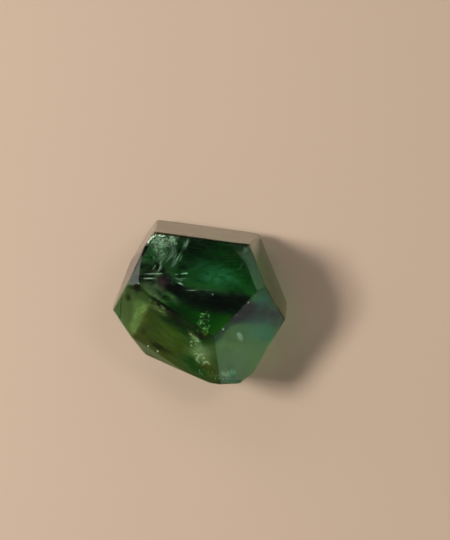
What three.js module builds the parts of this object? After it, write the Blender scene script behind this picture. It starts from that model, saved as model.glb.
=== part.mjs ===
// Rainbow fluorite freeform: one loose chunk of green and purple fluorite, ground flat and
// polished on every side, lying on its ground base with the broad table on top.
// Millimetres, +Z up.

import * as THREE from 'three';
import { ConvexGeometry } from 'three/addons/geometries/ConvexGeometry.js';
import { mergeVertices } from 'three/addons/utils/BufferGeometryUtils.js';

// Polishing takes the sharpness off every edge.
const EDGE_RADIUS = 0.4;
const EDGE_STEPS = 3;

// Each ground facet: the compass bearing it faces (degrees from +X towards +Y), how far it
// leans above the horizon (degrees) and how far it stands from the middle of the base.
const FACETS = [
  { name: 'base', bearing: 0, lean: -90, distance: 0 },
  { name: 'table', bearing: 92.5, lean: 87, distance: 26.6 },

  // Broad slopes at the front, which meet in a ridge below the table
  { name: 'front left slope', bearing: -126, lean: 45, distance: 24.6 },
  { name: 'far left slope', bearing: -135, lean: 44.5, distance: 25.3 },
  { name: 'front right slope', bearing: -40.5, lean: 47, distance: 26.5 },

  // Narrow facets beside the table
  { name: 'right strip', bearing: 29, lean: 70, distance: 29 },
  { name: 'right corner', bearing: 49.5, lean: 74, distance: 28.6 },
  { name: 'left wedge', bearing: 169.5, lean: 53.5, distance: 30.1 },

  // Steep walls
  { name: 'back wall', bearing: 82, lean: 19, distance: 20.3 },
  { name: 'back right wall', bearing: 21.5, lean: 15, distance: 20.8 },
  { name: 'back right bevel', bearing: 21, lean: 12.5, distance: 20.4 },
  { name: 'back left corner', bearing: 132.5, lean: 15, distance: 23.9 },
  { name: 'back left wall', bearing: 147, lean: 11.5, distance: 21.9 },
  { name: 'left wall', bearing: 157, lean: 13, distance: 21.9 },
  { name: 'front skirt', bearing: -125, lean: 27.5, distance: 23.4 },

  // Undercuts, from the widest line of the stone in to the base
  { name: 'front right undercut', bearing: -30.5, lean: -8, distance: 17.6 },
  { name: 'front corner undercut', bearing: -53, lean: -12, distance: 18.4 },
  { name: 'front undercut', bearing: -94, lean: -15, distance: 15.4 },
  { name: 'skirt undercut', bearing: -111, lean: -15, distance: 13.5 },
  { name: 'front left undercut', bearing: -148.5, lean: -15, distance: 14.6 },
  { name: 'left undercut', bearing: 170.5, lean: -15, distance: 16.1 },
  { name: 'back undercut', bearing: 82, lean: -38, distance: 13 },
  { name: 'back right undercut', bearing: 24, lean: -38, distance: 12.9 },
];

// The plane of a facet, moved inwards by the edge radius.
function insetPlane({ bearing, lean, distance }) {
  const turn = THREE.MathUtils.degToRad(bearing);
  const rise = THREE.MathUtils.degToRad(lean);
  const outward = new THREE.Vector3(
    Math.cos(rise) * Math.cos(turn),
    Math.cos(rise) * Math.sin(turn),
    Math.sin(rise),
  );
  return new THREE.Plane(outward, EDGE_RADIUS - distance);
}

// The point where three planes meet, or null where they run side by side.
function meetingPoint(first, second, third) {
  const normals = new THREE.Matrix3().set(
    ...first.normal.toArray(),
    ...second.normal.toArray(),
    ...third.normal.toArray(),
  );
  if (Math.abs(normals.determinant()) < 1e-6) {
    return null;
  }
  return new THREE.Vector3(-first.constant, -second.constant, -third.constant)
    .applyMatrix3(normals.invert());
}

// Points on the rounded tip of a corner, spread between the facets that meet there.
function tipPoints(corner, facets) {
  const points = [];
  for (let i = 0; i <= EDGE_STEPS; i += 1) {
    for (let j = 0; i + j <= EDGE_STEPS; j += 1) {
      const direction = new THREE.Vector3()
        .addScaledVector(facets[0].normal, i)
        .addScaledVector(facets[1].normal, j)
        .addScaledVector(facets[2].normal, EDGE_STEPS - i - j)
        .normalize();
      points.push(corner.clone().addScaledVector(direction, EDGE_RADIUS));
    }
  }
  return points;
}

// The stone is the space inside every facet, with its edges and corners rolled over.
function stoneGeometry() {
  const planes = FACETS.map(insetPlane);
  const surface = [];
  for (let i = 0; i < planes.length; i += 1) {
    for (let j = i + 1; j < planes.length; j += 1) {
      for (let k = j + 1; k < planes.length; k += 1) {
        const meeting = [planes[i], planes[j], planes[k]];
        const corner = meetingPoint(...meeting);
        if (corner && planes.every((plane) => plane.distanceToPoint(corner) < 1e-6)) {
          surface.push(...tipPoints(corner, meeting));
        }
      }
    }
  }
  const hull = new ConvexGeometry(surface);
  hull.deleteAttribute('normal');
  return mergeVertices(hull, 1e-4);
}

const stone = new THREE.Mesh(
  stoneGeometry(),
  new THREE.MeshStandardMaterial({
    color: 0x1f5c36,
    roughness: 0.08,
    transparent: true,
    opacity: 0.8,
  }),
);
stone.name = 'fluorite_freeform';

// The middle of the footprint stands on the origin.
const extent = new THREE.Box3().setFromObject(stone);
const middle = extent.getCenter(new THREE.Vector3());
stone.geometry.translate(-middle.x, -middle.y, -extent.min.z);

const part = new THREE.Group();
part.name = 'rainbow_fluorite_freeform';
part.add(stone);

export default part;
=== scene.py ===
import itertools
import math

import bmesh
import bpy
import numpy as np
from mathutils import Euler, Matrix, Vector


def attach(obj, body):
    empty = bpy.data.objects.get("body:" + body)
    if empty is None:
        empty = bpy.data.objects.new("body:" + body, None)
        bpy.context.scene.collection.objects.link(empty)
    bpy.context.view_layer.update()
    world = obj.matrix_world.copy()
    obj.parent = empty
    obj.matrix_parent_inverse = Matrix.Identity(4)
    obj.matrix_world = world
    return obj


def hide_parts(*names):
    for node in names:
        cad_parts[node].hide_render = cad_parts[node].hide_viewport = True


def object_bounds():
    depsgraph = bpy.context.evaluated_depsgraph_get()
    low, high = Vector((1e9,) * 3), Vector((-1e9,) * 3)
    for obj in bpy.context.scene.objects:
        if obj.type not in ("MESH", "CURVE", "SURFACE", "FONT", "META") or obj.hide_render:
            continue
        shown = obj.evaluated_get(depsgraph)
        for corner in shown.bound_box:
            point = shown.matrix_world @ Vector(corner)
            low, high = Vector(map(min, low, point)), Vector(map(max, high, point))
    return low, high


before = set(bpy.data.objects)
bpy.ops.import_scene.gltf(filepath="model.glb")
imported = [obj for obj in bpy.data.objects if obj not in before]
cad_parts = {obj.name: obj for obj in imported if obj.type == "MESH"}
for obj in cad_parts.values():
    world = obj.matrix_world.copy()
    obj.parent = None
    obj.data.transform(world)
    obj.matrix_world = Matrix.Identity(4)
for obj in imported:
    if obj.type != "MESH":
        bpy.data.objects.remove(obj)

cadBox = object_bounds()
mm = 0.001


# shader nodes

class Wire:  # an output socket: a sum or product with it adds the Math nodes

    def __init__(self, web, socket):
        self.web, self.socket = web, socket

    def maths(self, operation, first, second=0.0, clamp=False):
        settings = {"operation": operation, "use_clamp": clamp}
        return self.web.node("ShaderNodeMath", settings, {0: first, 1: second})

    def __add__(self, other):
        return self.maths("ADD", self, other)

    __radd__ = __add__

    def __sub__(self, other):
        return self.maths("SUBTRACT", self, other)

    def __rsub__(self, other):
        return self.maths("SUBTRACT", other, self)

    def __mul__(self, other):
        return self.maths("MULTIPLY", self, other)

    __rmul__ = __mul__

    def __pow__(self, other):
        return self.maths("POWER", self, other)

    def clamped(self):
        return self.maths("ADD", self, 0.0, clamp=True)

    def between(self, low, high):  # 0 at low, 1 at high, smooth in between
        limits = {"Value": self, "From Min": low, "From Max": high}
        return self.web.node("ShaderNodeMapRange", {"interpolation_type": "SMOOTHSTEP"}, limits)


class Web:  # the node tree of one material or of the world, or one that makes geometry

    def __init__(self, owner):
        if isinstance(owner, bpy.types.NodeTree):
            self.tree = owner
        else:
            owner.use_nodes = True
            self.tree = owner.node_tree
        self.tree.nodes.clear()

    def node(self, kind, settings=None, sockets=None, out=0):
        made = self.tree.nodes.new(kind)
        for name, value in (settings or {}).items():
            if name == "stops":
                self.setStops(made.color_ramp, value)
            else:
                setattr(made, name, value)
        for key, value in (sockets or {}).items():
            self.plug(self.find(made.inputs, key), value)
        return Wire(self, self.find(made.outputs, out)) if made.outputs else None

    def find(self, sockets, key):
        if isinstance(key, int):
            return sockets[key]
        byIdentifier = [s for s in sockets if s.identifier == key]
        return byIdentifier[0] if byIdentifier else sockets[key]

    def plug(self, socket, value):
        if isinstance(value, Wire):
            self.tree.links.new(value.socket, socket)
        elif socket.type == "RGBA" and len(value) == 3:
            socket.default_value = (*value, 1.0)
        else:
            socket.default_value = value

    def setStops(self, ramp, stops):
        while len(ramp.elements) < len(stops):
            ramp.elements.new(1.0)
        for element, (place, colour) in zip(ramp.elements, stops):
            element.position, element.color = place, (*colour, 1.0)

    def objectPlace(self):
        return self.node("ShaderNodeTexCoord", out="Object")

    def noise(self, place, scale, detail=2.0, roughness=0.5):
        sockets = {"Vector": place, "Scale": scale, "Detail": detail, "Roughness": roughness}
        return self.node("ShaderNodeTexNoise", {}, sockets, "Fac")

    def vector(self, operation, first, second=(0.0, 0.0, 0.0), out="Vector"):
        return self.node("ShaderNodeVectorMath", {"operation": operation}, {0: first, 1: second}, out)

    def within(self, place, middle, turn, size):  # seen from a turned box: 0 at its middle, 1 at its sides
        sockets = {"Vector": place, "Location": middle, "Rotation": turn, "Scale": size}
        return self.node("ShaderNodeMapping", {"vector_type": "TEXTURE"}, sockets)


def newMaterial(name):
    material = bpy.data.materials.new(name)
    return material, Web(material)


def linked(name, data):
    made = bpy.data.objects.new(name, data)
    bpy.context.scene.collection.objects.link(made)
    return made


# the cut of the stone

# each facet: the bearing it faces and its lean above the horizon in degrees, and how far it lies from the
# middle of the base in mm
facets = {
    "base": (0, -90, 0),
    "table": (92.5, 87, 26.6),
    "frontLeftSlope": (-126, 45, 24.6),
    "farLeftSlope": (-135, 44.5, 25.3),
    "frontRightSlope": (-40.5, 47, 26.5),
    "rightStrip": (29, 70, 29),
    "rightCorner": (49.5, 74, 28.6),
    "leftWedge": (169.5, 53.5, 30.1),
    "backWall": (82, 19, 20.3),
    "backRightWall": (21.5, 15, 20.8),
    "backRightBevel": (21, 12.5, 20.4),
    "backLeftCorner": (132.5, 15, 23.9),
    "backLeftWall": (147, 11.5, 21.9),
    "leftWall": (157, 13, 21.9),
    "frontSkirt": (-125, 27.5, 23.4),
    "frontRightUndercut": (-30.5, -8, 17.6),
    "frontCornerUndercut": (-53, -12, 18.4),
    "frontUndercut": (-94, -15, 15.4),
    "skirtUndercut": (-111, -15, 13.5),
    "frontLeftUndercut": (-148.5, -15, 14.6),
    "leftUndercut": (170.5, -15, 16.1),
    "backUndercut": (82, -38, 13),
    "backRightUndercut": (24, -38, 12.9),
}

parallel = 1e-6  # three planes with a smaller determinant share no corner
touching = 1e-9  # how far in metres a corner may lie past a plane


def outward(bearing, lean):
    turn, rise = math.radians(bearing), math.radians(lean)
    return np.array([math.cos(rise) * math.cos(turn), math.cos(rise) * math.sin(turn), math.sin(rise)])


def planesOfStone(inset):  # one row for each facet: its normal and its distance in metres
    return np.array([[*outward(bearing, lean), distance * mm - inset]
                     for bearing, lean, distance in facets.values()])


def cornersOf(planes):  # {(three planes): the point where they meet}, for the points inside all the others
    corners = {}
    for three in itertools.combinations(range(len(planes)), 3):
        normals, distances = planes[list(three), :3], planes[list(three), 3]
        if abs(np.linalg.det(normals)) < parallel:
            continue
        point = np.linalg.solve(normals, distances)
        if np.all(planes[:, :3] @ point < planes[:, 3] + touching):
            corners[three] = point
    return corners


def unit(vector):
    return vector / np.linalg.norm(vector)


def around(normal, corners):  # the order of the corners of one flat face, going round it
    middle = sum(corners) / len(corners)
    across = unit(corners[0] - middle)
    along = np.cross(normal, across)
    turn = [math.atan2((corner - middle) @ along, (corner - middle) @ across) for corner in corners]
    return sorted(range(len(corners)), key=turn.__getitem__)


class RolledSolid:  # a convex solid of flat faces, its edges and corners rolled over to one radius

    def __init__(self, planes, radius, steps):
        self.normals, self.radius, self.steps = planes[:, :3], radius, steps
        inner = planes.copy()
        inner[:, 3] -= radius
        self.corners = cornersOf(inner)
        self.keys, self.points, self.pointNormals, self.faces = {}, [], [], []
        for face in range(len(planes)):
            self.flatFace(face)
        for pair in itertools.combinations(range(len(planes)), 2):
            self.rolledEdge(pair)
        for three in self.corners:
            self.rolledTip(three)

    def point(self, corner, weights):  # weights say how far the point leans to each face's direction
        key = (corner, tuple(sorted((f, w) for f, w in weights.items() if w)))
        if key not in self.keys:
            direction = unit(sum(w * self.normals[f] for f, w in weights.items()))
            self.keys[key] = len(self.points)
            self.points.append(self.corners[corner] + self.radius * direction)
            self.pointNormals.append(direction)
        return self.keys[key]

    def addFace(self, corners):
        a, b, c = (self.points[i] for i in corners[:3])
        middle = sum(self.pointNormals[i] for i in corners)
        self.faces.append(corners if np.dot(np.cross(b - a, c - b), middle) > 0 else corners[::-1])

    def flatFace(self, face):
        ends = [three for three in self.corners if face in three]
        if len(ends) > 2:
            turn = around(self.normals[face], [self.corners[three] for three in ends])
            self.addFace([self.point(ends[i], {face: self.steps}) for i in turn])

    def rolledEdge(self, pair):
        ends = [three for three in self.corners if set(pair) <= set(three)]
        if len(ends) != 2:
            return
        first, second = pair
        for step in range(self.steps):
            now = {first: self.steps - step, second: step}
            after = {first: self.steps - step - 1, second: step + 1}
            self.addFace([self.point(ends[0], now), self.point(ends[1], now),
                          self.point(ends[1], after), self.point(ends[0], after)])

    def rolledTip(self, three):
        first, second, third = three

        def tip(i, j):
            return self.point(three, {first: self.steps - i - j, second: i, third: j})

        for i in range(self.steps):
            for j in range(self.steps - i):
                self.addFace([tip(i, j), tip(i + 1, j), tip(i, j + 1)])
                if i + j < self.steps - 1:
                    self.addFace([tip(i + 1, j), tip(i + 1, j + 1), tip(i, j + 1)])


def meshPiece(name, points, faces, material, normals=None):
    mesh = bpy.data.meshes.new(name)
    mesh.from_pydata([tuple(p) for p in points], [], [tuple(f) for f in faces])
    mesh.materials.append(material)
    mesh.polygons.foreach_set("use_smooth", [normals is not None] * len(mesh.polygons))
    if normals is not None:
        mesh.normals_split_custom_set_from_vertices([tuple(n) for n in normals])
    mesh.update()
    return linked(name, mesh)


# the crystal

crystal = {
    "edgeRadius": 0.47 * mm,
    "edgeSteps": 6,
    "ior": 1.434,
    "roughness": 0.02,
    "bodyColour": (0.00, 0.80, 0.24),
    "bodyDensity": 34.0,
    "rippleScale": 160.0,
    "rippleStrength": 0.02,
}


def crystalMaterial():
    material, web = newMaterial("polishedFluorite")
    place = web.objectPlace()
    ripple = web.noise(place, crystal["rippleScale"])
    bump = web.node("ShaderNodeBump", {}, {
        "Strength": crystal["rippleStrength"], "Distance": mm, "Height": ripple}, "Normal")
    surface = web.node("ShaderNodeBsdfPrincipled", {}, {
        "Base Color": (1.0, 1.0, 1.0), "Roughness": crystal["roughness"], "IOR": crystal["ior"],
        "Transmission Weight": 1.0, "Normal": bump})
    inside = web.node("ShaderNodeVolumeAbsorption", {}, {
        "Color": crystal["bodyColour"], "Density": crystal["bodyDensity"]})
    web.node("ShaderNodeOutputMaterial", {}, {"Surface": surface, "Volume": inside})
    return material


stone = RolledSolid(planesOfStone(0.0), crystal["edgeRadius"], crystal["edgeSteps"])
cadMiddle = (np.array(cadBox[0]) + np.array(cadBox[1])) / 2
stonePoints = np.array(stone.points)
stoneMiddle = (stonePoints.min(axis=0) + stonePoints.max(axis=0)) / 2
# moves the stone to the middle of the CAD box, and down to its floor
seat = np.array([*(cadMiddle - stoneMiddle)[:2], cadBox[0][2] - stonePoints[:, 2].min()])
crystalPiece = meshPiece("fluoriteCrystal", stonePoints + seat, stone.faces, crystalMaterial(),
                         stone.pointNormals)
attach(crystalPiece, "root")
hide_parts("fluorite_freeform")
print("crystal:", len(crystalPiece.data.polygons), "faces")


# colour zones inside the crystal, each cut from it by growth planes

# absorbed: per metre in red, green and blue; layers, step: how many layers soften its edge, and how far in mm
# each lies inside the last; bounds: bearing, lean and distance in mm of the planes that bound it
zones = {
    "emeraldZone": {
        "absorbed": (52, 13, 23), "layers": 3, "step": 0.9,
        "bounds": [(-96.7, -5.4, -2.0), (-132.7, -3.3, 1.8)]},
    "purpleBand": {
        "absorbed": (1750, 1700, 1150), "layers": 5, "step": 0.36,
        "bounds": [(83.3, 5.4, 3.1), (-100.7, -4.7, 2.9), (0, -90, -15.2), (0, 90, 18.6),
                   (-147.1, -1.8, 5.6), (-40.5, 47, 20.3)]},
    "bandCorner": {
        "absorbed": (1700, 1700, 1500), "layers": 4, "step": 0.36,
        "bounds": [(47.3, 3.3, -0.4), (-96.7, -5.4, -2.3), (0, -90, -15.2), (0, 90, 18.6),
                   (-147.1, -1.8, 5.3)]},
    "smallBand": {
        "absorbed": (60, 50, 60), "layers": 2, "step": 0.3,
        "bounds": [(82, 14, 9.8), (-98, 2, -1.5), (0, -90, -10), (0, 0, -8.5)]},
    "lowerGreen": {
        "absorbed": (215, 86, 280), "layers": 3, "step": 0.45,
        "bounds": [(79.3, 4.7, -1.7), (0, -90, -8), (-44.0, -17.9, 3.0), (-126.0, -11.3, 4.8),
                   (160.1, 3.3, 12.5)]},
}


def zoneMaterial(name, taken):  # the densest colour sets the density, the other two are let through in part
    material, web = newMaterial(name)
    density = float(max(taken))
    clear = web.node("ShaderNodeBsdfTransparent")
    inside = web.node("ShaderNodeVolumeAbsorption", {}, {
        "Color": tuple(1 - part / density for part in taken), "Density": density})
    web.node("ShaderNodeOutputMaterial", {}, {"Surface": clear, "Volume": inside})
    return material


def limitPlanes(bounds):
    return np.array([[*outward(bearing, lean), distance * mm] for bearing, lean, distance in bounds])


def innerPiece(name, points, faces, material):
    piece = meshPiece(name, [point + seat for point in points], faces, material)
    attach(piece, "root")


def zonePiece(name, taken, bounds, inset, gap=0.3 * mm):  # gap: how far it stays under the facets
    limits = limitPlanes(bounds)
    limits[:, 3] -= inset * mm
    planes = np.vstack([planesOfStone(gap), limits])
    corners = cornersOf(planes)
    keys, faces = list(corners), []
    for face in range(len(planes)):
        ring = [i for i, three in enumerate(keys) if face in three]
        if len(ring) > 2:
            faces.append([ring[i] for i in around(planes[face, :3], [corners[keys[i]] for i in ring])])
    innerPiece(name, [corners[three] for three in keys], faces, zoneMaterial(name, taken))


for name, zone in zones.items():
    layers = zone["layers"]
    total = layers * (layers + 1) / 2
    for layer in range(layers):  # faint outside, dense inside
        ending = "Inner" + str(layer) if layer else ""
        taken = [part * (layer + 1) / total for part in zone["absorbed"]]
        zonePiece(name + ending, taken, zone["bounds"], layer * zone["step"])
print("zones:", len(zones))


# thin sheets inside the crystal: shades of colour, milky veils and streaks, and painted shade, reflection and
# highlight under some facets

# plane: bearing, lean and distance of the sheet in mm; tint or milk: its colour, clear or cloudy;
# soft: how far out in a spot it starts to fade, 1 = hard edge; warp: how far in mm the edges wander;
# grain: how it streaks along and across, and how strongly; cut: x, y, turn and blur of a line that
# the shade stops at; spots: x and y on the sheet, half length and half width in mm, turn in degrees,
# and strength, below 0 where it thins the others
sheets = {
    "tableShade": {  # deep green in the far half of the table
        "plane": (-90, 90, 21.0), "tint": (0.05, 0.68, 0.05), "soft": 0.25, "warp": 1.4,
        "grain": (0.12, 0.6, 0.85),
        "spots": [(5.0, 10.8, 7.5, 3.6, -6, 0.85), (9.6, 5.0, 2.6, 5.0, 18, 0.9),
                  (-2.6, 10.0, 5.4, 3.4, 0, 0.6), (-12.7, 7.3, 3.0, 3.2, 0, 0.8),
                  (6.6, 6.2, 2.6, 1.4, -10, 0.6), (-5.0, 6.0, 3.0, 2.0, 0, 0.4)]},
    "darkShade": {  # near-black patches beside the veil and in the band
        "plane": (-90, 90, 19.5), "tint": (0.1, 0.12, 0.09), "soft": 0.2, "warp": 1.2,
        "grain": (0.2, 0.9, 0.45),
        "spots": [(-2.8, 10.4, 5.2, 3.0, 0, 0.72), (0.4, 11.6, 4.6, 1.7, -4, 0.5),
                  (1.2, 8.8, 2.8, 1.4, 0, 0.4), (-4.6, 6.6, 2.4, 1.2, 10, 0.6),
                  (5.0, -2.6, 9.0, 2.6, -5, 1.1), (-2.5, -0.6, 3.6, 2.2, -20, 0.9),
                  (-5.6, 1.2, 2.6, 1.6, -45, 1.0), (-13.2, 6.4, 3.2, 1.7, 0, 0.75),
                  (-9.5, -0.3, 3.6, 1.5, -38, 0.8), (-13.4, 3.2, 3.6, 2.6, 0, 1.3),
                  (-5.2, 4.2, 1.8, 1.4, 0, 0.5), (8.6, 0.5, 3.8, 1.6, -8, 0.6),
                  (-7.1, 0.8, 2.6, 1.8, -35, 1.5), (-7.6, -1.6, 3.0, 1.2, -32, 0.6),
                  (-8.8, 2.6, 2.8, 2.0, -25, 0.5)]},
    "purpleShade": {  # lets more purple through at the ends of the band
        "plane": (-90, 90, 18.5), "tint": (0.92, 0.38, 0.76), "soft": 0.05, "warp": 1.0,
        "grain": (0.4, 0.6, 0.3),
        "spots": [(-9.0, 2.6, 2.4, 2.2, -25, 1.0), (-9.6, 4.0, 1.6, 1.2, 0, 0.5),
                  (-1.5, -2.6, 3.0, 1.2, 0, 0.4), (16.5, -4.5, 2.0, 1.6, 0, 0.6)]},
    "growthLines": {  # fine lines of growth
        "plane": (-90, 90, 22.5), "tint": (0.36, 0.58, 0.4), "soft": 0.5, "warp": 0.4,
        "grain": (0.05, 2.4, 1.0),
        "spots": [(4.0, 8.0, 10.0, 5.0, 0, 0.5)]},
    "slopeOlive": {  # olive over the front left slope, except where it is green or milky
        "plane": (-126, 45, 24.15), "tint": (0.57, 0.48, 0.04), "soft": 0.2, "warp": 0.6,
        "grain": (0.15, 0.4, 0.2), "cut": (-7.6, 0.0, 1.3, 0.5),
        "spots": [(2.0, 4.0, 50.0, 50.0, 0, 1.0), (9.0, 8.4, 4.6, 7.0, -35, -0.85),
                  (9.4, 1.8, 7.0, 3.2, 0, -0.5), (-5.2, 11.2, 4.0, 2.0, 12, -0.6),
                  (5.4, 10.4, 3.4, 1.8, -20, -0.8)]},
    "slopeShade": {  # deeper green along the top and the lower right of that slope
        "plane": (-126, 45, 23.8), "tint": (0.12, 0.56, 0.06), "soft": 0.1, "warp": 0.9,
        "grain": (0.2, 0.5, 0.4), "cut": (-7.0, 0.0, 1.3, 1.0),
        "spots": [(0.0, 10.2, 9.0, 1.8, 3, 0.7), (9.0, 3.2, 6.6, 3.8, 0, 1.3)]},
    "slopeEdge": {  # dark line under its top edge
        "plane": (-126, 45, 24.0), "tint": (0.1, 0.14, 0.06), "soft": 0.3, "warp": 0.2,
        "grain": (0.3, 0.3, 0.3),
        "spots": [(-4.0, 12.75, 8.5, 0.42, 1, 1.0), (-0.4, 11.8, 4.4, 0.9, 3, 0.7)]},
    "slopeBrown": {  # brown smear above its lower edge
        "plane": (-126, 45, 23.9), "tint": (0.5, 0.34, 0.12), "soft": 0.2, "warp": 0.7,
        "grain": (0.15, 0.4, 0.4),
        "spots": [(-0.6, 1.6, 5.0, 1.3, 8, 1.0), (-5.8, 3.0, 1.2, 3.4, -10, 0.5)]},
    "cornerShade": {  # brown specks in the far left slope
        "plane": (-135, 44.5, 24.5), "tint": (0.42, 0.26, 0.1), "soft": 0.1, "warp": 0.7,
        "grain": (0.3, 0.3, 0.4),
        "spots": [(-11.6, 6.8, 1.2, 1.7, 20, 1.0), (-11.4, 10.3, 2.6, 0.9, 38, 1.2),
                  (-8.6, 6.4, 2.4, 0.7, 15, 0.3)]},
    "cornerTint": {  # yellow cast over the far left slope
        "plane": (-135, 44.5, 24.8), "tint": (0.98, 0.98, 0.56), "soft": 0.9, "warp": 0.3,
        "grain": (0.3, 0.3, 0.1), "cut": (-4.8, 0.0, 187.6, 0.5),
        "spots": [(-10.0, 4.0, 14.0, 14.0, 0, 1.0)]},
    "tealShade": {  # teal in the front right slope
        "plane": (-40.5, 47, 25.9), "tint": (0.38, 0.88, 0.78), "soft": 0.1, "warp": 1.0,
        "grain": (0.2, 0.4, 0.4),
        "spots": [(4.0, -0.6, 5.0, 4.6, 0, 1.0), (-10.0, -0.6, 4.0, 1.6, 60, 0.8),
                  (9.0, 8.0, 4.0, 3.0, 0, 0.6)]},
    "slateShade": {  # slate band across the front right slope
        "plane": (-40.5, 47, 25.6), "tint": (0.56, 0.32, 0.74), "soft": 0.3, "warp": 1.3,
        "grain": (0.25, 0.5, 0.35),
        "spots": [(6.2, 3.0, 11.5, 3.1, -63, 1.0), (-5.0, 6.0, 2.8, 2.6, 0, 0.3),
                  (0.6, 9.0, 3.0, 1.6, -10, 0.5)]},
    "slateDeep": {  # darker patches in the slate band
        "plane": (-40.5, 47, 25.3), "tint": (0.66, 0.5, 0.8), "soft": 0.1, "warp": 1.0,
        "grain": (0.3, 0.6, 0.6),
        "spots": [(8.2, 0.8, 3.6, 1.9, -63, 1.0), (2.6, 8.6, 2.6, 1.5, -20, 0.9),
                  (4.6, 4.2, 3.6, 1.2, -60, 0.6)]},
    "skirtTint": {  # painted warm reflection in the front skirt
        "plane": (-125, 27.5, 22.9), "tint": (1.0, 0.88, 0.58), "soft": 0.9, "warp": 0.3,
        "grain": (0.3, 0.3, 0.2),
        "spots": [(0.0, 0.0, 60.0, 60.0, 0, 1.0)]},
    "backWallTint": {  # painted shade and warm reflection in the back wall
        "plane": (82, 19, 19.8), "tint": (0.84, 0.46, 0.2), "soft": 0.9, "warp": 0.5,
        "grain": (0.05, 0.6, 0.25),
        "spots": [(0.0, 0.0, 60.0, 60.0, 0, 1.0)]},
    "rightWallTint": {  # painted shade and orange reflection in the right walls
        "plane": (21.2, 13.8, 20.1), "tint": (1.0, 0.5, 0.1), "soft": 0.9, "warp": 0.5,
        "grain": (0.05, 0.6, 0.35),
        "spots": [(0.0, 0.0, 60.0, 60.0, 0, 1.0)]},
    "leftWallTint": {  # painted dark brown shade in the left walls
        "plane": (152.5, 12.3, 21.1), "tint": (0.16, 0.1, 0.03), "soft": 0.9, "warp": 0.5,
        "grain": (0.05, 0.9, 0.1),
        "spots": [(0.0, 0.0, 60.0, 60.0, 0, 1.0)]},
    "milkVeil": {  # milky veil in the far left corner of the table
        "plane": (-90, 90, 24.6), "milk": (0.72, 0.9, 0.66), "soft": 0.1, "warp": 1.6,
        "grain": (1.0, 0.7, 1.0),
        "spots": [(-9.6, 12.3, 5.6, 2.8, 0, 0.7), (-12.2, 12.6, 2.8, 2.2, 0, 0.65),
                  (-9.2, 9.4, 1.8, 3.4, 15, 0.28), (-8.8, 12.3, 4.0, 0.9, 0, 0.8),
                  (-10.8, 11.4, 2.4, 1.6, 0, 0.4), (-6.6, 9.2, 1.9, 1.9, 0, -0.7),
                  (-6.6, 11.9, 1.6, 1.1, 20, 0.9), (-12.0, 2.0, 3.0, 1.6, -30, 0.04)]},
    "purpleGlow": {  # the purple patch
        "plane": (-90, 90, 19.0), "milk": (0.25, 0.05, 0.14), "soft": 0.0, "warp": 1.2,
        "grain": (0.5, 0.8, 0.6),
        "spots": [(-8.8, 2.5, 3.2, 2.6, -25, 0.8), (-6.0, 1.2, 2.4, 1.2, -20, 0.2),
                  (-12.4, 5.2, 2.6, 1.0, 0, 0.3), (15.5, -3.5, 2.0, 1.2, 0, 0.3)]},
    "emeraldGlow": {  # faint glow in the emerald zone
        "plane": (-90, 90, 20.2), "milk": (0.16, 0.9, 0.5), "soft": 0.1, "warp": 1.6,
        "grain": (0.45, 1.3, 1.0),
        "spots": [(3.5, 3.6, 6.5, 3.0, -8, 0.14), (-6.8, 3.0, 3.0, 1.2, -20, 0.12),
                  (-11.8, 8.2, 1.8, 2.0, 0, 0.2)]},
    "emeraldCloud": {  # cloudy patch in the middle of the table
        "plane": (-90, 90, 22.2), "milk": (0.26, 0.85, 0.52), "soft": 0.1, "warp": 2.0,
        "grain": (0.4, 0.8, 1.0),
        "spots": [(3.4, 4.4, 5.8, 3.4, -6, 0.42), (7.6, 2.6, 3.0, 1.6, -20, 0.3),
                  (-0.6, 6.4, 3.0, 1.6, 30, 0.2)]},
    "milkStreaks": {  # needles and short streaks
        "plane": (-90, 90, 23.0), "milk": (0.8, 0.98, 0.78), "soft": 0.2, "warp": 0.25,
        "grain": (1.0, 1.0, 0.5),
        "spots": [(-3.6, 11.6, 2.2, 0.75, 62, 0.5), (-5.9, 7.6, 3.4, 0.4, 60, 0.6),
                  (-9.9, 5.6, 2.4, 0.35, 63, 0.5), (-6.6, 7.2, 2.0, 0.25, 66, 0.4),
                  (-11.1, 4.35, 3.6, 0.22, 3, 0.8), (-12.2, 3.15, 2.2, 0.22, 7, 0.7),
                  (9.5, 6.0, 1.5, 0.22, 60, 0.6), (-5.9, 4.25, 0.7, 0.2, 0, 0.9),
                  (-3.9, 4.4, 1.2, 0.3, 2, 1.4), (-4.9, 1.9, 1.1, 0.3, -20, 1.1),
                  (-5.2, 2.9, 1.6, 0.18, -20, 0.6), (-4.2, 3.1, 1.2, 0.2, 0, 0.5),
                  (-2.2, 0.3, 2.2, 0.16, -1, 0.8), (2.9, -0.7, 0.26, 0.26, 0, 1.4),
                  (2.0, 0.4, 2.2, 0.12, -3, 0.4)]},
    "slopeMilk": {  # milk along the ridge and under the top edge of the front left slope
        "plane": (-126, 45, 24.05), "milk": (0.6, 0.74, 0.38), "soft": 0.0, "warp": 0.8,
        "grain": (0.9, 0.9, 0.6),
        "spots": [(9.0, 8.4, 2.2, 4.2, -35, 0.32), (11.0, 6.0, 1.6, 3.0, -35, 0.3),
                  (5.2, 10.4, 3.2, 1.3, -20, 0.55), (-5.4, 10.9, 3.4, 0.9, 12, 0.6),
                  (-6.9, 6.4, 1.0, 4.0, 0, 0.25)]},
    "cornerMilk": {  # milky curl in the far left slope
        "plane": (-135, 44.5, 24.65), "milk": (0.52, 0.84, 0.5), "soft": 0.0, "warp": 0.3,
        "grain": (0.3, 0.3, 0.3),
        "spots": [(-8.2, 7.0, 3.4, 3.8, 0, 0.22), (-6.9, 6.4, 1.6, 5.6, -14, 0.34),
                  (-7.4, 8.8, 2.0, 1.8, 0, 0.12), (-5.8, 2.4, 2.4, 4.4, -10, 0.34)]},
    "cornerWash": {  # painted shade darkening the corner facet
        "plane": (49.5, 74, 27.9), "tint": (0.46, 0.76, 0.52), "soft": 0.3, "warp": 0.3,
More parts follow.
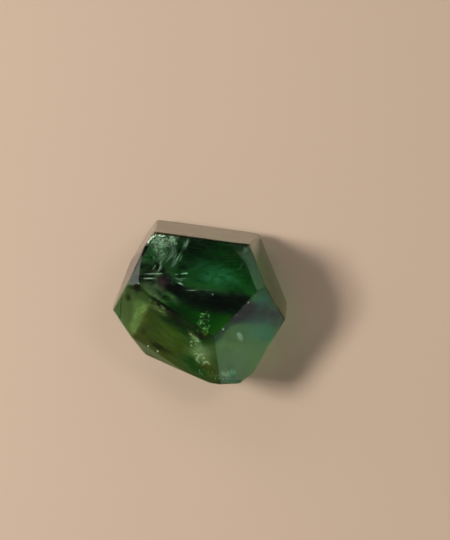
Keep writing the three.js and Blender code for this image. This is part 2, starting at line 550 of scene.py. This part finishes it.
        "grain": (0.5, 0.5, 0.3),
        "spots": [(-1.0, -6.8, 3.2, 2.8, 0, 0.9)]},
    "cornerLine": {  # painted highlight line across it
        "plane": (49.5, 74, 28.05), "milk": (0.6, 0.8, 0.6), "soft": 0.1, "warp": 0.1,
        "grain": (0.5, 0.5, 0.2),
        "spots": [(-1.8, -6.9, 1.6, 0.13, 98, 0.6)]},
    "frontTeal": {  # teal glow in the front right slope
        "plane": (-40.5, 47, 26.05), "milk": (0.02, 0.5, 0.34), "soft": 0.0, "warp": 1.2,
        "grain": (0.3, 0.6, 0.5),
        "spots": [(2.6, 2.2, 7.0, 4.6, -75, 0.38), (-10.0, 0.0, 4.6, 2.2, 60, 0.22),
                  (7.6, 7.6, 3.4, 2.2, -20, 0.3)]},
    "frontMilk": {  # oval milky spot in the front right slope
        "plane": (-40.5, 47, 26.0), "milk": (0.6, 0.8, 0.58), "soft": 0.2, "warp": 0.4,
        "grain": (0.8, 0.8, 0.5),
        "spots": [(-1.9, 5.6, 1.0, 2.1, -8, 0.85), (-5.4, 1.8, 5.0, 5.0, 0, 0.12)]},
}

sheetLook = {
    "warpScale": 0.5,
    "warpDetail": 3.0,
    "grainScale": 1.6,
    "grainDetail": 4.0,
    "grainRoughness": 0.6,
    "grainRange": (0.35, 0.65),
    "milkRoughness": 0.6,
    "milkGlow": 0.1,  # stands for the light scattered in it
    "milkThrough": 0.25,  # how much of it lets light through
}


def sheetMaterial(name, sheet):
    material, web = newMaterial(name)
    bearing, lean, distance = sheet["plane"]
    middle = outward(bearing, lean) * distance * mm + seat
    turned = (math.radians(90 - lean), 0.0, math.radians(bearing + 90))
    place = web.within(web.objectPlace(), tuple(middle), turned, (mm, mm, mm))  # in mm on the sheet
    sideways = web.node("ShaderNodeTexNoise", {}, {
        "Vector": place, "Scale": sheetLook["warpScale"], "Detail": sheetLook["warpDetail"]}, "Color")
    centred = web.vector("SUBTRACT", sideways, (0.5, 0.5, 0.5))
    warped = web.vector("ADD", place, web.vector("MULTIPLY", centred, (2 * sheet["warp"],) * 3))
    shade = 0.0
    for x, y, halfLength, halfWidth, turn, strength in sheet["spots"]:
        size = (halfLength, halfWidth, 1000.0)  # depth doesn't count
        near = web.within(warped, (x, y, 0.0), (0.0, 0.0, math.radians(turn)), size)
        shade = web.vector("LENGTH", near, out="Value").between(1.0, sheet["soft"]) * strength + shade
    along, across, depth = sheet["grain"]
    streaked = web.vector("MULTIPLY", place, (along, across, 1.0))
    grain = web.noise(
        streaked, sheetLook["grainScale"], sheetLook["grainDetail"], sheetLook["grainRoughness"])
    share = (shade * (1 - grain.between(*sheetLook["grainRange"]) * depth)).clamped()
    if "cut" in sheet:
        x, y, turn, blur = sheet["cut"]
        beyond = web.within(warped, (x, y, 0.0), (0.0, 0.0, math.radians(turn)), (blur, blur, blur))
        share = share * web.node("ShaderNodeSeparateXYZ", {}, {"Vector": beyond}, "X").between(-1.0, 1.0)
    clear = web.node("ShaderNodeBsdfTransparent")
    if "tint" in sheet:
        tinted = web.node("ShaderNodeBsdfTransparent", {}, {"Color": sheet["tint"]})
    else:
        lit = web.node("ShaderNodeBsdfPrincipled", {}, {
            "Base Color": sheet["milk"], "Roughness": sheetLook["milkRoughness"],
            "Emission Color": sheet["milk"], "Emission Strength": sheetLook["milkGlow"]})
        through = web.node("ShaderNodeBsdfTranslucent", {}, {"Color": sheet["milk"]})
        tinted = web.node("ShaderNodeMixShader", {}, {0: sheetLook["milkThrough"], 1: lit, 2: through})
    surface = web.node("ShaderNodeMixShader", {}, {0: share, 1: clear, 2: tinted})
    web.node("ShaderNodeOutputMaterial", {}, {"Surface": surface})
    return material


def sheetPiece(name, sheet, gap=0.25 * mm):
    flat = limitPlanes([sheet["plane"]])
    limits = planesOfStone(gap)
    corners = []
    for pair in itertools.combinations(range(len(limits)), 2):
        rows = np.vstack([limits[list(pair)], flat])
        if abs(np.linalg.det(rows[:, :3])) < parallel:
            continue
        point = np.linalg.solve(rows[:, :3], rows[:, 3])
        if np.all(limits[:, :3] @ point < limits[:, 3] + touching):
            corners.append(point)
    innerPiece(name, corners, [around(flat[0, :3], corners)], sheetMaterial(name, sheet))


for name, sheet in sheets.items():
    sheetPiece(name, sheet)
print("sheets:", len(sheets))


# flakes and nicks: small inclusions scattered along a path, and pale chips under the edges whose glow is
# painted highlight

# path: points in mm that the flakes follow; spread: how far they stray in mm; flake: its length, width
# and thickness in mm; aim, turn: how it is turned about each axis and how far it may stray from that,
# in degrees; smallest: size of the least, 1 = full
flakes = {
    "columnFlakes": {  # a column over the deep green
        "path": [(1.0, -5.1, 25.6), (0.5, -6.6, 25.6), (-0.2, -8.2, 25.6), (0.8, -9.6, 25.4)],
        "count": 52, "spread": (0.9, 0.9, 0.3), "flake": (0.66, 0.34, 0.1), "aim": (0, 0, 90),
        "turn": (60, 60, 60), "smallest": 0.3, "seed": 3, "finish": "greenFlake"},
    "columnFlakesRight": {  # its right side
        "path": [(1.5, -5.8, 25.5), (1.7, -8.5, 25.5), (1.2, -10.2, 25.2)],
        "count": 24, "spread": (0.4, 0.9, 0.3), "flake": (0.6, 0.3, 0.1), "aim": (0, 0, 90),
        "turn": (60, 60, 60), "smallest": 0.3, "seed": 7, "finish": "greenFlake"},
    "ridgeFlakes": {  # down the ridge between the two slopes
        "path": [(-1.8, -10.8, 24.0), (-0.9, -12.3, 23.3), (-1.6, -13.4, 22.1), (-0.3, -14.0, 22.3),
                 (0.2, -14.8, 22.0), (-0.5, -16.2, 20.6)],
        "count": 120, "spread": (1.5, 1.0, 0.6), "flake": (0.62, 0.36, 0.1), "aim": (0, 0, 70),
        "turn": (60, 60, 60), "smallest": 0.3, "seed": 11, "finish": "paleFlake"},
    "ridgeArcs": {  # pale hooks on the ridge
        "path": [(0.2, -14.6, 22.3), (-0.4, -14.9, 21.9), (-1.0, -15.7, 20.8), (-0.4, -16.4, 20.6)],
        "count": 22, "spread": (0.2, 0.2, 0.15), "flake": (0.75, 0.55, 0.14), "aim": (0, 0, 0),
        "turn": (60, 60, 90), "smallest": 0.5, "seed": 5, "finish": "creamFlake"},
    "ridgeHook": {  # one more beside them
        "path": [(0.7, -16.5, 21.2), (1.4, -16.3, 21.7), (2.0, -16.9, 21.6)],
        "count": 16, "spread": (0.2, 0.2, 0.15), "flake": (0.75, 0.55, 0.14), "aim": (0, 0, 0),
        "turn": (60, 60, 90), "smallest": 0.5, "seed": 6, "finish": "creamFlake"},
    "footFlakes": {  # fine needles at the foot of the ridge
        "path": [(-0.5, -17.7, 19.6), (1.0, -19.0, 19.0), (3.4, -19.4, 20.2), (5.9, -19.3, 19.5),
                 (8.0, -18.7, 18.4)],
        "count": 80, "spread": (0.9, 0.9, 0.8), "flake": (1.5, 0.13, 0.07), "aim": (0, 0, 92),
        "turn": (12, 12, 8), "smallest": 0.3, "seed": 13, "finish": "tealFlake"},
    "veilFlakes": {  # in the milky veil
        "path": [(-12.4, 11.6, 24.4), (-11.2, 12.6, 24.2), (-9.2, 12.5, 24.2), (-6.9, 12.2, 24.0),
                 (-8.6, 11.8, 23.8), (-10.6, 11.0, 24.0), (-9.9, 9.4, 23.4), (-10.2, 7.4, 22.8)],
        "count": 200, "spread": (1.4, 1.0, 0.9), "flake": (0.66, 0.36, 0.08), "aim": (0, 0, 60),
        "turn": (60, 60, 60), "smallest": 0.25, "seed": 17, "finish": "veilFlake"},
    "veilFibres": {  # fibres that trail from it
        "path": [(-11.0, 11.5, 24.2), (-8.0, 10.0, 24.0), (-6.0, 8.5, 24.0), (-9.5, 6.0, 24.0)],
        "count": 34, "spread": (2.0, 1.8, 0.6), "flake": (1.9, 0.14, 0.08), "aim": (0, 0, 62),
        "turn": (6, 6, 12), "smallest": 0.3, "seed": 23, "finish": "veilFlake"},
    "veilRim": {  # white ones along its far edge
        "path": [(-12.8, 11.5, 25.7), (-12.1, 12.2, 25.8), (-11.4, 13.1, 25.8), (-10.5, 13.3, 25.8),
                 (-8.6, 13.2, 25.8)],
        "count": 70, "spread": (0.15, 0.15, 0.1), "flake": (1.0, 0.22, 0.1), "aim": (0, 0, 20),
        "turn": (20, 20, 40), "smallest": 0.4, "seed": 29, "finish": "whiteFlake"},
    "darkSpeckles": {  # the finest, over the dark patch beside the veil
        "path": [(-7.2, 11.0, 23.4), (-6.2, 10.0, 23.4), (-6.8, 8.6, 23.4)],
        "count": 60, "spread": (0.7, 0.6, 0.5), "flake": (0.26, 0.18, 0.1), "aim": (0, 0, 0),
        "turn": (90, 90, 90), "smallest": 0.4, "seed": 31, "finish": "whiteFlake"},
    "slopeFlakes": {  # under the top edge of the front left slope
        "path": [(-11.6, -2.6, 25.2), (-9.8, -3.2, 25.6), (-8.0, -5.0, 25.2)],
        "count": 36, "spread": (1.3, 0.9, 0.7), "flake": (0.6, 0.34, 0.1), "aim": (0, 0, -40),
        "turn": (60, 60, 60), "smallest": 0.25, "seed": 37, "finish": "paleFlake"},
}

flakeFinishes = {  # glow stands for the light scattered in a flake, cover is how much it hides
    "greenFlake": {"colour": (0.5, 0.8, 0.42), "glow": 0.2, "cover": 0.8},
    "paleFlake": {"colour": (0.66, 0.8, 0.46), "glow": 0.2, "cover": 0.8},
    "veilFlake": {"colour": (0.6, 0.8, 0.54), "glow": 0.14, "cover": 0.8},
    "creamFlake": {"colour": (0.5, 0.58, 0.42), "glow": 0.14, "cover": 0.8},
    "tealFlake": {"colour": (0.62, 0.84, 0.62), "glow": 0.17, "cover": 0.8},
    "whiteFlake": {"colour": (0.85, 0.98, 0.8), "glow": 0.34, "cover": 0.9},
    # the nicks' finish: pale like a chip, and its glow paints the highlight the chip catches
    "edgeNickGlint": {"colour": (0.9, 0.92, 0.8), "glow": 0.3, "cover": 0.9},
}

# places, sizes: where each nick lies under an edge and how large it is, in mm; shape: what its size is
# divided by along each axis; turns: how far each is turned on from the last, in radians
# each nick is a pale chip under an edge, and also carries a painted highlight
nicks = {
    "places": [(12.8, -1.2, 26.0), (11.1, -2.8, 26.2), (8.3, -5.8, 26.4), (5.2, -9.2, 26.5),
               (-12.7, -12.0, 17.0), (-10.4, -13.3, 17.4), (-10.8, -1.3, 26.2), (-11.9, -0.6, 26.1),
               (-10.1, -2.0, 26.2), (-12.4, 11.5, 25.6), (10.3, 10.3, 25.1)],
    "sizes": [0.3, 0.5, 0.26, 0.56, 0.5, 0.55, 0.4, 0.3, 0.26, 0.5, 0.26],
    "shape": (2, 3, 4),
    "turns": (0.7, 1.3, 2.1),
}

flakeCorners = 12  # of an icosphere with one subdivision
crowding = 2.5  # the more, the fewer are large
flakeRoughness = 0.45


def addInput(tree, name, kind):
    return tree.interface.new_socket(name, in_out="INPUT", socket_type="NodeSocket" + kind).identifier


def flakeTree():
    tree = bpy.data.node_groups.new("flakesAlongPath", "GeometryNodeTree")
    keys = {name: addInput(tree, name, kind) for name, kind in [
        ("path", "Geometry"), ("count", "Int"), ("spread", "Vector"), ("flake", "Vector"),
        ("aim", "Vector"), ("turn", "Vector"), ("smallest", "Float"), ("seed", "Int"),
        ("finish", "Material")]}
    tree.interface.new_socket("flakes", in_out="OUTPUT", socket_type="NodeSocketGeometry")
    web = Web(tree)
    given = tree.nodes.new("NodeGroupInput")
    value = {name: Wire(web, web.find(given.outputs, key)) for name, key in keys.items()}
    line = web.node("GeometryNodeMeshToCurve", {}, {"Mesh": value["path"]})
    points = web.node("GeometryNodeCurveToPoints", {"mode": "COUNT"}, {
        "Curve": line, "Count": value["count"]})
    backwards = web.vector("SCALE", value["spread"])
    backwards.socket.node.inputs["Scale"].default_value = -1.0
    random = {"data_type": "FLOAT_VECTOR"}
    stray = web.node("FunctionNodeRandomValue", random, {
        "Min": backwards, "Max": value["spread"], "Seed": value["seed"]})
    strewn = web.node("GeometryNodeSetPosition", {}, {"Geometry": points, "Offset": stray})
    ball = web.node("GeometryNodeMeshIcoSphere", {}, {"Radius": 1.0, "Subdivisions": 1})
    flake = web.node("GeometryNodeTransform", {}, {"Geometry": ball, "Scale": value["flake"]})
    turned = web.node("FunctionNodeRandomValue", random, {
        "Min": web.vector("SUBTRACT", value["aim"], value["turn"]),
        "Max": web.vector("ADD", value["aim"], value["turn"]), "Seed": value["seed"] + 1})
    chance = web.node("FunctionNodeRandomValue", {"data_type": "FLOAT"}, {
        "Min_001": 0.0, "Max_001": 1.0, "Seed": value["seed"] + 2}, "Value_001")
    size = value["smallest"] + (1 - value["smallest"]) * chance ** crowding
    placed = web.node("GeometryNodeInstanceOnPoints", {}, {
        "Points": strewn, "Instance": flake, "Rotation": turned, "Scale": size})
    real = web.node("GeometryNodeRealizeInstances", {}, {"Geometry": placed})
    finished = web.node("GeometryNodeSetMaterial", {}, {"Geometry": real, "Material": value["finish"]})
    web.node("NodeGroupOutput", {}, {"flakes": finished})
    return tree, keys


def flakeMaterial(name, colour, glow, cover):
    material, web = newMaterial(name)
    clear = web.node("ShaderNodeBsdfTransparent")
    pale = web.node("ShaderNodeBsdfPrincipled", {}, {
        "Base Color": colour, "Roughness": flakeRoughness,
        "Emission Color": colour, "Emission Strength": glow})
    surface = web.node("ShaderNodeMixShader", {}, {0: cover, 1: clear, 2: pale})
    web.node("ShaderNodeOutputMaterial", {}, {"Surface": surface})
    return material


def keepInside(mesh, gap=0.08 * mm):  # drops each flake that would reach the surface
    limits = planesOfStone(gap)
    points = np.array([v.co for v in mesh.vertices]) - seat
    inside = np.all(points @ limits[:, :3].T < limits[:, 3], axis=1)
    inside = inside.reshape(-1, flakeCorners).all(axis=1).repeat(flakeCorners)
    editing = bmesh.new()
    editing.from_mesh(mesh)
    bmesh.ops.delete(editing, geom=[v for v in editing.verts if not inside[v.index]], context="VERTS")
    editing.to_mesh(mesh)
    editing.free()


def flakePiece(name, settings, tree, keys, material):
    line = bpy.data.meshes.new(name + "Path")
    places = [tuple(np.array(point) * mm + seat) for point in settings["path"]]
    line.from_pydata(places, [(i, i + 1) for i in range(len(places) - 1)], [])
    holder = linked(name + "Path", line)
    modifier = holder.modifiers.new("flakes", "NODES")
    modifier.node_group = tree
    modifier[keys["count"]] = settings["count"]
    modifier[keys["spread"]] = tuple(reach * mm for reach in settings["spread"])
    modifier[keys["flake"]] = tuple(part * mm / 2 for part in settings["flake"])
    modifier[keys["aim"]] = tuple(math.radians(angle) for angle in settings["aim"])
    modifier[keys["turn"]] = tuple(math.radians(angle) for angle in settings["turn"])
    modifier[keys["smallest"]] = settings["smallest"]
    modifier[keys["seed"]] = settings["seed"]
    modifier[keys["finish"]] = material
    graph = bpy.context.evaluated_depsgraph_get()
    mesh = bpy.data.meshes.new_from_object(holder.evaluated_get(graph), depsgraph=graph)
    bpy.data.objects.remove(holder)
    keepInside(mesh)
    piece = linked(name, mesh)
    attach(piece, "root")


def nickPiece(name, settings, material):
    editing = bmesh.new()
    for index, (place, size) in enumerate(zip(settings["places"], settings["sizes"])):
        turn = Euler([part * index for part in settings["turns"]]).to_matrix().to_4x4()
        grow = Matrix.Diagonal([*(size * mm / part for part in settings["shape"]), 1.0])
        move = Matrix.Translation(tuple(np.array(place) * mm + seat))
        bmesh.ops.create_icosphere(editing, subdivisions=1, radius=1.0, matrix=move @ turn @ grow)
    mesh = bpy.data.meshes.new(name)
    editing.to_mesh(mesh)
    editing.free()
    mesh.materials.append(material)
    piece = linked(name, mesh)
    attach(piece, "root")


flakesTree, flakeKeys = flakeTree()
finishes = {name: flakeMaterial(name, **look) for name, look in flakeFinishes.items()}
for name, settings in flakes.items():
    flakePiece(name, settings, flakesTree, flakeKeys, finishes[settings["finish"]])
nickPiece("edgeNickGlints", nicks, finishes["edgeNickGlint"])
print("flakes:", len(flakes), "groups")


# floor, lights and camera

studio = {
    "floorSize": 1.6,
    "floorColour": (0.47, 0.34, 0.245),
    "floorRoughness": 0.8,
    "floorGap": 0.02 * mm,
    # brightness by the sine of the height above the horizon
    "sky": [(0.0, 0.12), (0.2, 0.11), (0.36, 0.28), (0.7, 0.3), (0.86, 0.1), (1.0, 0.08)],
}

# bearing, lean: where each stands, in degrees; distance, size in metres; power in watts
lights = {
    "keyLight": {"bearing": -178, "lean": 50, "distance": 0.9, "size": 0.22, "power": 8.5},
    "cornerLight": {"bearing": 125, "lean": 42, "distance": 0.9, "size": 0.4, "power": 0.9},
    "backRightLight": {"bearing": 42, "lean": 44, "distance": 0.9, "size": 0.35, "power": 0.24},
    "fillLight": {"bearing": 15, "lean": 65, "distance": 0.9, "size": 0.2, "power": 0.9,
                  "colour": (1.0, 0.95, 0.88)},
    "leftBackLight": {"bearing": 159, "lean": 15, "distance": 0.8, "size": 0.3, "power": 0.7,
                      "colour": (0.95, 0.96, 0.93)},
    "frontLeftLight": {"bearing": -136, "lean": 7, "distance": 0.8, "size": 0.4, "power": 0.06,
                       "colour": (1.0, 0.75, 0.3)},
    "frontRightLight": {"bearing": -33, "lean": 10, "distance": 0.8, "size": 0.4, "power": 0.35},
}


def buildFloor():
    half = studio["floorSize"] / 2
    material, web = newMaterial("paleFloor")
    surface = web.node("ShaderNodeBsdfPrincipled", {}, {
        "Base Color": studio["floorColour"], "Roughness": studio["floorRoughness"]})
    web.node("ShaderNodeOutputMaterial", {}, {"Surface": surface})
    level = cadBox[0][2] - studio["floorGap"]
    corners = [(-half, -half, level), (half, -half, level), (half, half, level), (-half, half, level)]
    floor = meshPiece("floor", corners, [(0, 1, 2, 3)], material)


def buildSky():
    world = bpy.data.worlds.new("studio")
    bpy.context.scene.world = world
    web = Web(world)
    outwards = web.node("ShaderNodeTexCoord", out="Generated")
    height = web.node("ShaderNodeSeparateXYZ", {}, {"Vector": outwards}, "Z")
    stops = [(place, (shade,) * 3) for place, shade in studio["sky"]]
    shade = web.node("ShaderNodeValToRGB", {"stops": stops}, {0: height}, "Color")
    sky = web.node("ShaderNodeBackground", {}, {"Color": shade})
    web.node("ShaderNodeOutputWorld", {}, {"Surface": sky})


def softBox(name, bearing, lean, distance, size, power, colour=(1.0, 1.0, 1.0)):
    lamp = bpy.data.lights.new(name, "AREA")
    lamp.shape, lamp.size, lamp.energy, lamp.color = "SQUARE", size, power, colour
    holder = linked(name, lamp)
    holder.location = tuple(outward(bearing, lean) * distance)
    holder.rotation_euler = (math.radians(90 - lean), 0.0, math.radians(bearing + 90))


view = {
    "lean": 80.0,  # degrees above the horizon
    "distance": 350 * mm,
    "aim": (5.7 * mm, 6.63 * mm, 16.35 * mm),
    "pixelsPerMm": 4.11,
    "frameHeight": 540,
    "sensor": 36.0,
    "clip": (0.01, 20.0),
}


def buildCamera():
    lens = bpy.data.cameras.new("camera")
    lens.sensor_width = view["sensor"]
    lens.sensor_fit = "AUTO"
    frameMetres = view["frameHeight"] / view["pixelsPerMm"] * mm
    lens.lens = lens.sensor_width * view["distance"] / frameMetres
    lens.clip_start, lens.clip_end = view["clip"]
    camera = linked("camera", lens)
    camera.location = tuple(np.array(view["aim"]) + seat + outward(-90, view["lean"]) * view["distance"])
    camera.rotation_euler = (math.radians(90 - view["lean"]), 0.0, 0.0)
    bpy.context.scene.camera = camera


buildFloor()
buildSky()
for name, light in lights.items():
    softBox(name, **light)
buildCamera()

lightPaths = {
    "bounces": 24,
    "clearLayers": 128,  # a ray through the stone crosses many sheets and zone layers
}

scene = bpy.context.scene
scene.cycles.use_denoising = True
scene.cycles.max_bounces = scene.cycles.transmission_bounces = lightPaths["bounces"]
scene.cycles.transparent_max_bounces = lightPaths["clearLayers"]
scene.view_settings.view_transform = "Standard"
print("studio is ready")
